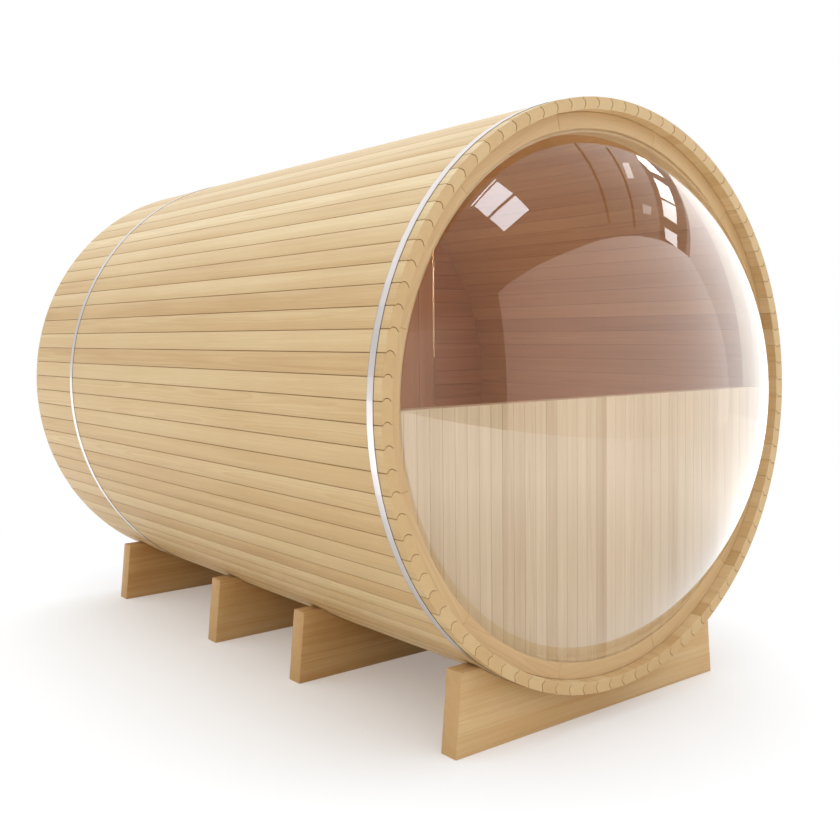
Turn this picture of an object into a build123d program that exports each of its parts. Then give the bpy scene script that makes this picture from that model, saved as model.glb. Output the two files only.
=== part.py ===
from build123d import *
import os
from math import asin, cos, radians, sin, sqrt, tan

# Barrel sauna: a drum of bead-and-cove staves on four plank cradles, with a clear dome over one end.
# Y runs along the barrel, the dome faces -Y, Z is up from the ground, X = 0 is the middle plane.
# Left and right are as seen from the dome end.

# Barrel of staves
barrel_radius = 1000.0
barrel_length = 2870.0
ground_clearance = 105.0
stave_count = 92
stave_thickness = 41.0
stave_chamfer = 3.0
bead_height = 9.0
bead_flats = 3
bead_outer_shoulder = 6.0
bead_inner_shoulder = 7.0
joint_gap = 0.4
sector_names = ["bottom", "lower_left", "left", "upper_left", "top", "upper_right", "right", "lower_right"]

# Grooves in the staves that hold the two cross walls
croze_depth = 5.0
seat_gap = 0.3
overrun = 10.0

# Bands
band_width = 32.0
band_thickness = 1.5
front_band_inset = 53.0
back_band_inset = 481.0

# Cradles: the outer two stand in from the ends, the inner two at shares of the barrel's length
cradle_thickness = 73.0
cradle_foot_length = 1318.0
cradle_top_length = 1266.0
cradle_end_height = 270.0
cradle_front_inset = 89.0
cradle_back_inset = 166.0
cradle_mid_front_share = 0.348
cradle_mid_back_share = 0.583

# Front wall and its half-round opening
front_wall_recess = 50.0
front_wall_thickness = 60.0
arch_width = 66.0
arch_crown_share = 0.5

# Dome
dome_lap = 11.0
dome_thickness = 8.0
dome_reach = 350.0

# Wooden ring round the dome
ring_thickness = 8.0
ring_segments = 12

# Cross wall with the door
cross_wall_inset = 1740.0
cross_wall_thickness = 45.0
doorway_width = 810.0
door_head_drop = 148.0
jamb_width = 115.0
upright_width = 110.0
upright_thickness = 25.0
casing_thickness = 20.0
casing_overlap = 25.0

# Floor
underfloor_depth = 178.0
floor_thickness = 28.0
floor_board_count = 8
floor_board_gap = 6.0
floor_edge_gap = 12.0
floor_end_gap = 5.0
bearer_thickness = 45.0
room_bearer_count = 4
porch_bearer_count = 3

# Door
door_thickness = 40.0
door_side_gap = 8.0
door_head_gap = 8.0
door_floor_gap = 14.0
sill_drop = 4.0
ledge_width = 120.0
ledge_thickness = 22.0
ledge_end_gap = 60.0
ledge_height_shares = [0.16, 0.84]

# Door handles
handle_width = 28.0
handle_length = 320.0
handle_stand_off = 64.0
handle_post_width = 22.0
handle_post_inset = 50.0
handle_chamfer = 5.0
handle_edge_distance = 75.0
handle_height_share = 0.55

# Hinges
hinge_height = 110.0
hinge_plate_width = 40.0
hinge_plate_thickness = 3.0
hinge_knuckle_radius = 7.0
hinge_knuckle_lift = 1.0
hinge_pin_radius = 3.5
hinge_running_gap = 0.1
hinge_axial_gap = 1.0
hinge_height_shares = [0.16, 0.84]

# Values worked out from the sizes above
axis_height = barrel_radius + ground_clearance
overall_length = barrel_length + dome_reach
front_y = dome_reach - overall_length / 2
back_y = front_y + barrel_length
stave_pitch = 360 / stave_count
half_pitch = radians(stave_pitch / 2)
outer_flat = barrel_radius * cos(half_pitch)
inner_flat = outer_flat - stave_thickness
croze_radius = inner_flat + croze_depth - seat_gap
window_radius = inner_flat - arch_width
front_wall_front = front_y + front_wall_recess
front_wall_back = front_wall_front + front_wall_thickness
cross_wall_front = front_y + cross_wall_inset
cross_wall_back = cross_wall_front + cross_wall_thickness
floor_top = axis_height - inner_flat + underfloor_depth
doorway_half = doorway_width / 2
doorway_top = axis_height + inner_flat - door_head_drop
doorway_height = doorway_top - floor_top
jamb_outer = doorway_half + jamb_width
upright_outer = jamb_outer + upright_width


def save(name, *solids):
    """Writes one node: a solid, or like solids that don't touch."""
    shape = solids[0] if len(solids) == 1 else Compound(children=list(solids))
    shape.label = name
    export_step(shape, f"parts/{name}.step")


def block(x_low, x_high, y_low, y_high, z_low, z_high):
    """A box from its limits."""
    middle = Pos((x_low + x_high) / 2, (y_low + y_high) / 2, (z_low + z_high) / 2)
    return middle * Box(x_high - x_low, y_high - y_low, z_high - z_low)


def plug(radius, y_low, y_high):
    """A round disc on the barrel's axis."""
    place = Pos(0, (y_low + y_high) / 2, axis_height) * Rot(90, 0, 0)
    return place * Cylinder(radius, y_high - y_low)


def round_board(radius, x_low, x_high, y_low, y_high, z_low, z_high):
    """A board cut to the barrel's round where it reaches the staves."""
    return block(x_low, x_high, y_low, y_high, z_low, z_high) & plug(radius, y_low, y_high)


def mirrored(solid):
    """The same piece on the other side of the middle plane."""
    return mirror(solid, about=Plane.YZ)


def side_point(side, along, offset):
    """A point on a stave's radial side: side is 1 at the bead and -1 at the cove."""
    x = along * sin(half_pitch) + offset * cos(half_pitch)
    z = along * cos(half_pitch) - offset * sin(half_pitch)
    return (side * x, front_y, z)


def joint_flats(side, radius, middle, depth, half_chord, inset):
    """Points of a bead or cove from the outer shoulder to the inner one: flats that follow an arc."""
    half_turn = asin(half_chord / radius)
    points = []
    for i in range(bead_flats + 1):
        turn = half_turn * (1 - 2 * i / bead_flats)
        lift = side * (radius * cos(turn) - depth)
        points.append(side_point(side, middle + radius * sin(turn), inset + lift))
    return points


def make_stave():
    """The top stave, about an axis at z = 0, with bead, cove, eased outer edges and both grooves."""
    bead_top = barrel_radius - bead_outer_shoulder
    bead_bottom = inner_flat + bead_inner_shoulder
    bead_middle = (bead_top + bead_bottom) / 2
    half_chord = (bead_top - bead_bottom) / 2
    bead_radius = (half_chord**2 + bead_height**2) / (2 * bead_height)
    bead_depth = bead_radius - bead_height
    cove_radius = bead_radius + joint_gap
    cove_depth = bead_depth + joint_gap
    cove_half_chord = sqrt(cove_radius**2 - cove_depth**2)
    inset = -joint_gap / 2
    inner_along = (inner_flat + inset * sin(half_pitch)) / cos(half_pitch)
    eased_along = barrel_radius - stave_chamfer
    eased_half = outer_flat * tan(half_pitch) - stave_chamfer
    outline = [
        (-eased_half, front_y, outer_flat),
        (eased_half, front_y, outer_flat),
        side_point(1, eased_along, inset),
        *joint_flats(1, bead_radius, bead_middle, bead_depth, half_chord, inset),
        side_point(1, inner_along, inset),
        side_point(-1, inner_along, inset),
        *reversed(joint_flats(-1, cove_radius, bead_middle, cove_depth, cove_half_chord, inset)),
        side_point(-1, eased_along, inset),
    ]
    stave = extrude(make_face(Polyline(*outline, close=True)), amount=barrel_length, dir=(0, 1, 0))
    groove_half = inner_flat * tan(half_pitch) + bead_height + overrun
    groove_limits = (inner_flat - overrun, inner_flat + croze_depth)
    for y_low, y_high in ((front_wall_front, front_wall_back), (cross_wall_front, cross_wall_back)):
        stave -= block(-groove_half, groove_half, y_low - seat_gap, y_high + seat_gap, *groove_limits)
    return stave


def make_barrel():
    """All staves, clockwise from the bottom seen from the dome end, gathered by the side they are on."""
    stave = make_stave()
    sectors = {name: [] for name in sector_names}
    for i in range(stave_count):
        sector = round(i * len(sector_names) / stave_count) % len(sector_names)
        turn = Pos(0, 0, axis_height) * Rot(0, 180 + i * stave_pitch, 0)
        sectors[sector_names[sector]].append(turn * stave)
    for name, staves in sectors.items():
        save(f"staves_{name}", *staves)


def make_bands():
    """Two steel strips pulled tight round the barrel: flat on each stave and bent at each joint."""
    inner = outer_flat + seat_gap
    turn = Pos(0, 0, axis_height) * Rot(90, 0, 0) * Rot(0, 0, stave_pitch / 2)
    for name, middle in (("front", front_y + front_band_inset), ("back", back_y - back_band_inset)):
        strip = RegularPolygon(inner + band_thickness, stave_count, major_radius=False)
        strip -= RegularPolygon(inner, stave_count, major_radius=False)
        hoop = extrude(turn * strip, amount=band_width / 2, both=True)
        save(f"band_{name}", Pos(0, middle, 0) * hoop)


def make_cradles():
    """Four planks on edge, each with a round seat for the barrel."""
    half_foot = cradle_foot_length / 2
    half_top = cradle_top_length / 2
    seat_radius = barrel_radius + seat_gap
    places = {
        "front": front_y + cradle_front_inset,
        "mid_front": front_y + cradle_mid_front_share * barrel_length,
        "mid_back": front_y + cradle_mid_back_share * barrel_length,
        "back": back_y - cradle_back_inset - cradle_thickness,
    }
    foot = [(-half_foot, 0), (half_foot, 0)]
    top = [(half_top, cradle_end_height), (-half_top, cradle_end_height)]
    for name, y in places.items():
        face = make_face(Polyline(*[(x, y, z) for x, z in foot + top], close=True))
        plank = extrude(face, amount=cradle_thickness, dir=(0, 1, 0))
        save(f"cradle_{name}", plank - plug(seat_radius, y - overrun, y + cradle_thickness + overrun))


def make_front_wall():
    """Lower half disc, and an arch over the half-round opening, in three pieces."""
    limits = (front_wall_front, front_wall_back)
    reach = barrel_radius
    lower = round_board(croze_radius, -reach, reach, *limits, axis_height - reach, axis_height - joint_gap)
    save("front_wall_lower", lower)
    opening = plug(window_radius, front_wall_front - overrun, front_wall_back + overrun)
    arch_limits = (axis_height, axis_height + reach)
    crown_half = arch_crown_share * window_radius
    crown = round_board(croze_radius, -crown_half, crown_half, *limits, *arch_limits) - opening
    right = round_board(croze_radius, crown_half + joint_gap, reach, *limits, *arch_limits) - opening
    save("front_arch_top", crown)
    save("front_arch_right", right)
    save("front_arch_left", mirrored(right))


def make_dome():
    """A blown dome of even thickness; its cut edge stands on the front wall, round the opening."""
    rim_radius = window_radius + dome_lap
    apex = front_y - dome_reach
    rise = front_wall_front - apex
    outer_radius = (rim_radius**2 + rise**2) / (2 * rise)
    centre = Pos(0, apex + outer_radius, axis_height)
    cap = centre * Sphere(outer_radius) & plug(rim_radius + overrun, apex - overrun, front_wall_front)
    save("dome", cap - centre * Sphere(outer_radius - dome_thickness))


def make_ring():
    """A flat wooden ring round the dome's foot, of like segments with small gaps between them."""
    limits = (front_wall_front - ring_thickness, front_wall_front)
    opening_radius = window_radius + dome_lap + seat_gap
    ring = plug(inner_flat - seat_gap, *limits) - plug(opening_radius, *limits)
    blade = block(-joint_gap / 2, joint_gap / 2, *limits, opening_radius - overrun, barrel_radius)
    for i in range(ring_segments):
        ring -= Pos(0, 0, axis_height) * Rot(0, (i + 0.5) * 360 / ring_segments, 0) * blade
    save("front_ring", *ring.solids())


def make_cross_wall():
    """Boarded cheeks, door jambs, header and sill, with uprights and casing on the room side."""
    limits = (cross_wall_front, cross_wall_back)
    low, high = axis_height - barrel_radius, axis_height + barrel_radius
    cheek = round_board(croze_radius, jamb_outer, barrel_radius, *limits, low, high)
    jamb = round_board(croze_radius, doorway_half, jamb_outer, *limits, low, high)
    for name, piece in (("cheek", cheek), ("jamb", jamb)):
        save(f"{name}_right", piece)
        save(f"{name}_left", mirrored(piece))
    between = (-doorway_half, doorway_half)
    save("wall_over_door", round_board(croze_radius, *between, *limits, doorway_top, high))
    save("door_sill", round_board(croze_radius, *between, *limits, low, floor_top - sill_drop))
    lining_radius = inner_flat - seat_gap
    upright_limits = (cross_wall_front - upright_thickness, cross_wall_front)
    casing_limits = (cross_wall_front - casing_thickness, cross_wall_front)
    upright = round_board(lining_radius, jamb_outer, upright_outer, *upright_limits, floor_top, high)
    casing_inner = doorway_half - casing_overlap
    casing = round_board(lining_radius, casing_inner, jamb_outer, *casing_limits, floor_top, high)
    for name, piece in (("upright", upright), ("casing", casing)):
        save(f"{name}_right", piece)
        save(f"{name}_left", mirrored(piece))
    head_limits = (*casing_limits, doorway_top - casing_overlap, high)
    save("casing_head", round_board(lining_radius, -casing_inner, casing_inner, *head_limits))


def floor_boards(y_low, y_high):
    """Boards along the barrel, laid edge to edge with small gaps."""
    under = inner_flat - underfloor_depth + floor_thickness
    half_width = sqrt(inner_flat**2 - under**2) - floor_edge_gap
    board_width = (2 * half_width - (floor_board_count - 1) * floor_board_gap) / floor_board_count
    z_limits = (floor_top - floor_thickness, floor_top)
    boards = []
    for i in range(floor_board_count):
        x_low = -half_width + i * (board_width + floor_board_gap)
        boards.append(block(x_low, x_low + board_width, y_low, y_high, *z_limits))
    return boards


def floor_bearers(y_low, y_high, count):
    """Joists across the barrel, round below to sit in the staves."""
    seat_radius = inner_flat - seat_gap
    x_limits = (-barrel_radius, barrel_radius)
    z_limits = (axis_height - barrel_radius, floor_top - floor_thickness)
    spacing = (y_high - y_low - bearer_thickness) / (count - 1)
    bearers = []
    for i in range(count):
        y = y_low + i * spacing
        bearers.append(round_board(seat_radius, *x_limits, y, y + bearer_thickness, *z_limits))
    return bearers


def make_floors():
    """Room floor, porch floor and the bearers of both."""
    room = (front_wall_back + floor_end_gap, cross_wall_front - upright_thickness - floor_end_gap)
    porch = (cross_wall_back + floor_end_gap, back_y - floor_end_gap)
    save("floor_room", *floor_boards(*room))
    save("floor_porch", *floor_boards(*porch))
    bearers = floor_bearers(*room, room_bearer_count) + floor_bearers(*porch, porch_bearer_count)
    save("floor_bearers", *bearers)


def make_handle(face_y, outward):
    """A wooden pull bar on two posts; outward is the Y direction away from the leaf."""
    x = -doorway_half + door_side_gap + handle_edge_distance
    z = floor_top + handle_height_share * doorway_height
    bar = Box(handle_width, handle_width, handle_length)
    bar = chamfer(bar.edges().filter_by(Axis.Z), handle_chamfer)
    handle = Pos(x, face_y + outward * (handle_stand_off - handle_width / 2), z) * bar
    post_length = handle_stand_off - handle_width
    for side in (-1, 1):
        post_z = z + side * (handle_length / 2 - handle_post_inset)
        post = Box(handle_post_width, post_length, handle_post_width)
        handle += Pos(x, face_y + outward * post_length / 2, post_z) * post
    return handle


def make_door():
    """The leaf with its ledges and handles, closed flush with the porch side of the wall."""
    half = doorway_half - door_side_gap
    low = floor_top + door_floor_gap
    high = doorway_top - door_head_gap
    leaf_front = cross_wall_back - door_thickness
    save("door_leaf", block(-half, half, leaf_front, cross_wall_back, low, high))
    ledge_half = half - ledge_end_gap
    ledges = []
    for share in ledge_height_shares:
        z = low + share * (high - low)
        z_limits = (z - ledge_width / 2, z + ledge_width / 2)
        ledges.append(block(-ledge_half, ledge_half, leaf_front - ledge_thickness, leaf_front, *z_limits))
    save("door_ledges", *ledges)
    save("door_handles", make_handle(leaf_front, -1), make_handle(cross_wall_back, 1))


def make_hinges():
    """Butt hinges on the porch side: two knuckles and the pin on the frame, one knuckle on the leaf."""
    axis_x = doorway_half - door_side_gap / 2
    axis_y = cross_wall_back + hinge_knuckle_lift + hinge_knuckle_radius
    plate_gap = hinge_knuckle_radius + hinge_axial_gap
    plate_y = (cross_wall_back, cross_wall_back + hinge_plate_thickness)
    knuckle_length = (hinge_height - 2 * hinge_axial_gap) / 3
    knuckle_step = knuckle_length + hinge_axial_gap
    frame_plates, leaf_plates = [], []
    for share in hinge_height_shares:
        z = floor_top + share * doorway_height
        z_limits = (z - hinge_height / 2, z + hinge_height / 2)
        frame = block(axis_x + plate_gap, axis_x + plate_gap + hinge_plate_width, *plate_y, *z_limits)
        for side in (-1, 1):
            knuckle_z = z + side * knuckle_step
            web_limits = (knuckle_z - knuckle_length / 2, knuckle_z + knuckle_length / 2)
            frame += Pos(axis_x, axis_y, knuckle_z) * Cylinder(hinge_knuckle_radius, knuckle_length)
            frame += block(axis_x, axis_x + plate_gap, *plate_y, *web_limits)
        frame += Pos(axis_x, axis_y, z) * Cylinder(hinge_pin_radius, hinge_height)
        leaf = block(axis_x - plate_gap - hinge_plate_width, axis_x - plate_gap, *plate_y, *z_limits)
        leaf += Pos(axis_x, axis_y, z) * Cylinder(hinge_knuckle_radius, knuckle_length)
        leaf += block(axis_x - plate_gap, axis_x, *plate_y, z - knuckle_length / 2, z + knuckle_length / 2)
        leaf -= Pos(axis_x, axis_y, z) * Cylinder(hinge_pin_radius + hinge_running_gap, hinge_height)
        frame_plates.append(frame)
        leaf_plates.append(leaf)
    save("hinge_frame_plates", *frame_plates)
    save("hinge_leaf_plates", *leaf_plates)


os.makedirs("parts", exist_ok=True)
make_barrel()
make_bands()
make_cradles()
make_front_wall()
make_dome()
make_ring()
make_cross_wall()
make_floors()
make_door()
make_hinges()
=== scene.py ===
import math
import random

import bmesh
import bpy
import numpy as np
from mathutils import Matrix, Vector


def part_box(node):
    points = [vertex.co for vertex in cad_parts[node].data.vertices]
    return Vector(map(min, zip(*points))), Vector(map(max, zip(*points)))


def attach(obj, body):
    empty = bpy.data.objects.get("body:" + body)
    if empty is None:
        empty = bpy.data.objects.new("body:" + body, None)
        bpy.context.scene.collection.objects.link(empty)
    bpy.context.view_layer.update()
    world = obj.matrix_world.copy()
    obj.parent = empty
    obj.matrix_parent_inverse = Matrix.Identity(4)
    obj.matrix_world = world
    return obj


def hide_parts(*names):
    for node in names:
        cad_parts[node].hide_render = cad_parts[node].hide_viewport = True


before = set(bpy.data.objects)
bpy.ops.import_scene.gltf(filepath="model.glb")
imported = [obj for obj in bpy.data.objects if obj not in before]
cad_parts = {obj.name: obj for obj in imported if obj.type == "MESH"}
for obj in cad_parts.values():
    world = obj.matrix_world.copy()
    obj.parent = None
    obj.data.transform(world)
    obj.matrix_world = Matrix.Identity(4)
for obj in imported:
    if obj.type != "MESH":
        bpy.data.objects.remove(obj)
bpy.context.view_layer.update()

# Barrel sauna, in metres. Y runs along the barrel, the dome faces -Y, Z is up from the floor.
# Left and right are as seen from the dome end.

SECTORS = ["bottom", "lower_left", "left", "upper_left", "top", "upper_right", "right", "lower_right"]
STAVES = 92
STAVE_THICKNESS = 0.041
STAVE_EASE = 0.003
BEAD_HEIGHT = 0.009
BEAD_OUTER_SHOULDER = 0.006
BEAD_INNER_SHOULDER = 0.007
JOINT_GAP = 0.0010
CROZE_DEPTH = 0.005
SEAT_GAP = 0.0003
ARCH_WIDTH = 0.066
RING_SEGMENTS = 12
DOME_THICKNESS = 0.008
FRONT_BOARD = 0.049
CHEEK_BOARD = 0.070
DOOR_BOARDS = 8
FLOOR_BOARDS = 8
FLOOR_GAP = 0.006
CRADLE_SLANT = 0.026
UPRIGHT_BEVEL = 0.0238
UPRIGHT_LEAN = 0.55
LEDGE_WIDTH = 0.120
PULL_WIDTH = 0.028
PULL_POST_START = 0.026
PULL_POST_INSET = 0.050
PULL_POST_HALF = 0.011

# The photograph's camera: pixels, degrees and metres
IMAGE_SIZE = 840
FOCAL_LENGTH = 1020.13
CENTRE_X, CENTRE_Y = 416.03, 381.02
CAMERA_TURNS = (38.598, 2.654, 0.521)
CAMERA_PLACE = (-2.6876, -3.5314, 1.3267)
SENSOR_WIDTH = 36.0

# Places taken from the CAD nodes
FRONT_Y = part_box("staves_top")[0].y
BACK_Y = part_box("staves_top")[1].y
RADIUS = 1.0
BAND_LOW, BAND_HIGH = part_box("band_front")
AXIS_Z = (BAND_LOW.z + BAND_HIGH.z) / 2
HALF_PITCH = math.pi / STAVES
OUTER_FLAT = RADIUS * math.cos(HALF_PITCH)
INNER_FLAT = OUTER_FLAT - STAVE_THICKNESS
CROZE_RADIUS = INNER_FLAT + CROZE_DEPTH - SEAT_GAP
LINING_RADIUS = INNER_FLAT - SEAT_GAP
WINDOW_RADIUS = INNER_FLAT - ARCH_WIDTH
WALL_FRONT, WALL_BACK = (corner.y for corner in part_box("front_wall_lower"))
CROSS_FRONT, CROSS_BACK = (corner.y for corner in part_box("cheek_left"))


def linear(red, green, blue):
    """A colour written in 0-255 sRGB, as the linear values that shaders take."""
    shares = [value / 255 for value in (red, green, blue)]
    return tuple(c / 12.92 if c <= 0.04045 else ((c + 0.055) / 1.055) ** 2.4 for c in shares) + (1.0,)


# Materials

# Facts each mesh carries: a board's tone, cut ends, joint darkening (soil and painted shade), and faces in the
# room
FACTS = ("tone", "cut", "soil_and_shade", "room")
# Painted shade: faces inside the barrel are browned by this, for the dim, reddish light there
ROOM_SHADE_BROWN = (0.96, 0.77, 0.64, 1.0)
# Joints are darkened towards this, partly as soil and partly as painted shade in the grooves
JOINT_SOIL_AND_SHADE = (0.66, 0.54, 0.40, 1.0)


class Shader:
    """A material's node tree, with short calls to add nodes and join them."""

    def __init__(self, name):
        self.material = bpy.data.materials.new(name)
        self.material.use_nodes = True
        self.tree = self.material.node_tree
        self.tree.nodes.clear()

    def add(self, kind, inputs=None, **settings):
        node = self.tree.nodes.new(kind)
        for key, value in settings.items():
            setattr(node, key, value)
        for key, value in (inputs or {}).items():
            if isinstance(value, bpy.types.NodeSocket):
                self.tree.links.new(value, node.inputs[key])
            else:
                node.inputs[key].default_value = value
        return node

    def math(self, operation, *values, clamp=False):
        inputs = dict(enumerate(values))
        return self.add("ShaderNodeMath", inputs, operation=operation, use_clamp=clamp).outputs[0]

    def scaled(self, vector, scale):
        return self.add("ShaderNodeVectorMath", {0: vector, 1: scale}, operation="MULTIPLY").outputs[0]

    def noise(self, vector, detail=2.0, roughness=0.5):
        inputs = {"Vector": vector, "Scale": 1.0, "Detail": detail, "Roughness": roughness}
        return self.add("ShaderNodeTexNoise", inputs).outputs["Fac"]

    def ramp(self, value, stops):
        node = self.add("ShaderNodeValToRGB", {"Fac": value})
        elements = node.color_ramp.elements
        while len(elements) < len(stops):
            elements.new(0.5)
        for element, (position, colour) in zip(elements, stops):
            element.position = position
            element.color = colour if isinstance(colour, tuple) else (colour, colour, colour, 1.0)
        return node.outputs["Color"]

    def mix(self, factor, first, second, blend="MIX"):
        node = self.add("ShaderNodeMix", data_type="RGBA", blend_type=blend)
        for key, value in ((0, factor), (6, first), (7, second)):
            if isinstance(value, bpy.types.NodeSocket):
                self.tree.links.new(value, node.inputs[key])
            else:
                node.inputs[key].default_value = value
        return node.outputs[2]

    def finish(self, surface):
        self.add("ShaderNodeOutputMaterial", {"Surface": surface})
        return self.material


def wood(name, pale, mid, deep, end, ring=0.0046, contrast=0.42, figure=1.0):
    """Planed softwood: rings about a pith beside the board, long streaks, fine fibre and darker end grain.

    ring is a year's growth in metres, contrast how dark its late wood is, figure how strong the streaks are.
    Faces towards the room are painted browner, as shade for the dim, reddish light inside the barrel, and the
    edges of joints are darkened, partly as soil and partly as painted shade.
    """
    s = Shader(name)
    grain = s.add("ShaderNodeAttribute", attribute_name="grain").outputs["Vector"]
    tone, cut, soil_and_shade, room = (s.add("ShaderNodeAttribute", attribute_name=key).outputs["Fac"] for key in FACTS)
    drift = s.noise(s.scaled(grain, (7.0, 1.1, 7.0)), 2.0)
    across = s.scaled(grain, (1.0, 0.0, 1.0))
    radius = s.add("ShaderNodeVectorMath", {0: across}, operation="LENGTH").outputs["Value"]
    radius = s.math("MULTIPLY_ADD", drift, 0.02, radius)
    phase = s.math("FRACT", s.math("DIVIDE", radius, ring))
    late = s.ramp(phase, [(0.0, 0.0), (0.35, 0.08), (0.82, 0.85), (0.9, 1.0), (1.0, 0.0)])
    wide = s.noise(s.scaled(grain, (30.0, 0.7, 30.0)), 3.0, 0.55)
    streak = s.noise(s.scaled(grain, (160.0, 1.8, 160.0)), 2.0, 0.55)
    fibre = s.noise(s.scaled(grain, (520.0, 9.0, 520.0)), 3.0, 0.6)
    patch = s.noise(s.scaled(grain, (3.0, 1.6, 3.0)), 2.0)
    level = s.math("MULTIPLY_ADD", tone, 0.52, 0.15)
    for noise, share in ((wide, 0.55), (patch, 0.36), (streak, 0.3)):
        level = s.math("MULTIPLY_ADD", noise, share * figure, s.math("SUBTRACT", level, share * figure / 2))
    colour = s.ramp(level, [(0.05, pale), (0.5, mid), (1.0, deep)])
    colour = s.mix(s.math("MULTIPLY", late, contrast), colour, s.mix(0.6, colour, deep))
    shade = s.math("MULTIPLY_ADD", fibre, 0.22, 0.89)
    grey = s.add("ShaderNodeCombineColor", {0: shade, 1: shade, 2: shade}).outputs[0]
    colour = s.mix(1.0, colour, grey, "MULTIPLY")
    colour = s.mix(s.math("MULTIPLY", cut, 0.8), colour, s.mix(0.75, colour, end))
    # Painted shade: faces looking into the room are browned for the dim, reddish light inside
    colour = s.mix(room, colour, s.mix(1.0, colour, ROOM_SHADE_BROWN, "MULTIPLY"))
    # Joint edges darkened: partly soil, partly painted shade in the grooves
    colour = s.mix(s.math("MULTIPLY", soil_and_shade, 0.85), colour, s.mix(1.0, colour, JOINT_SOIL_AND_SHADE, "MULTIPLY"))
    height = s.math("MULTIPLY_ADD", late, 0.35, fibre)
    bump = s.add("ShaderNodeBump", {"Strength": 0.3, "Distance": 0.0008, "Height": height}).outputs["Normal"]
    roughness = s.math("MULTIPLY_ADD", fibre, 0.16, 0.42)
    shader = s.add(
        "ShaderNodeBsdfPrincipled",
        {"Base Color": colour, "Roughness": roughness, "Specular IOR Level": 0.25, "Normal": bump},
    )
    return s.finish(shader.outputs[0])


def steel(name, colour, rough, stretch, own=True):
    """Brushed stainless steel; stretch gives the brush lines by how fast they change along X, Y, Z.

    own says whether the mesh carries its own grain places, as the strips do.
    """
    s = Shader(name)
    if own:
        place = s.add("ShaderNodeAttribute", attribute_name="grain").outputs["Vector"]
    else:
        place = s.add("ShaderNodeTexCoord").outputs["Object"]
    soil_and_shade = s.add("ShaderNodeAttribute", attribute_name="soil_and_shade").outputs["Fac"]
    brush = s.noise(s.scaled(place, stretch), 3.0, 0.6)
    shade = s.ramp(brush, [(0.3, tuple(0.9 * c for c in colour[:3]) + (1.0,)), (0.7, colour)])
    # Marked edges of the strip turn dark: a painted shadow line along its sides, partly soil
    shade = s.mix(soil_and_shade, shade, linear(96, 88, 80))
    bump = s.add("ShaderNodeBump", {"Strength": 0.12, "Distance": 0.0003, "Height": brush}).outputs["Normal"]
    roughness = s.math("MULTIPLY_ADD", brush, 0.16, rough - 0.08)
    shader = s.add(
        "ShaderNodeBsdfPrincipled",
        {"Base Color": shade, "Metallic": 1.0, "Roughness": roughness, "Anisotropic": 0.4, "Normal": bump},
    )
    return s.finish(shader.outputs[0])


def acrylic(name, tint):
    """Clear blown acrylic: the mirror of both its faces, by Fresnel, over a light tint."""
    s = Shader(name)
    fresnel = s.add("ShaderNodeFresnel", {"IOR": 1.49}).outputs[0]
    both = s.math("DIVIDE", s.math("MULTIPLY", fresnel, 2.0), s.math("ADD", fresnel, 1.0))
    behind = s.add("ShaderNodeNewGeometry").outputs["Backfacing"]
    share = s.math("MULTIPLY", both, s.math("SUBTRACT", 1.0, behind), clamp=True)
    clear = s.add("ShaderNodeBsdfTransparent", {"Color": tint})
    gloss = s.add("ShaderNodeBsdfGlossy", {"Color": (1, 1, 1, 1), "Roughness": 0.003})
    mixed = s.add("ShaderNodeMixShader", {0: share, 1: clear.outputs[0], 2: gloss.outputs[0]})
    return s.finish(mixed.outputs[0])


STAVE_WOOD = wood(
    "stave_wood", linear(224, 203, 161), linear(209, 181, 135), linear(182, 143, 94), linear(203, 172, 125)
)
RING_WOOD = wood(
    "ring_wood", linear(222, 196, 154), linear(209, 178, 133), linear(186, 148, 100), linear(200, 166, 118)
)
FRONT_WOOD = wood(
    "front_wood", linear(229, 219, 192), linear(213, 200, 169), linear(190, 166, 130), linear(204, 172, 128),
    figure=1.4,
)
INNER_WOOD = wood(
    "inner_wood", linear(222, 192, 150), linear(208, 172, 127), linear(178, 136, 90), linear(192, 154, 106)
)
CRADLE_WOOD = wood(
    "cradle_wood", linear(224, 198, 152), linear(208, 169, 115), linear(170, 117, 63), linear(196, 158, 108),
    ring=0.0058, contrast=0.5, figure=1.5,
)
STAINLESS = steel("band_steel", linear(206, 200, 198), 0.34, (5.0, 900.0, 5.0))
HINGE_STEEL = steel("hinge_steel", linear(190, 188, 184), 0.4, (900.0, 900.0, 60.0), False)
DOME = acrylic("dome_acrylic", (0.968, 0.938, 0.918, 1.0))


# Boards

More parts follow.
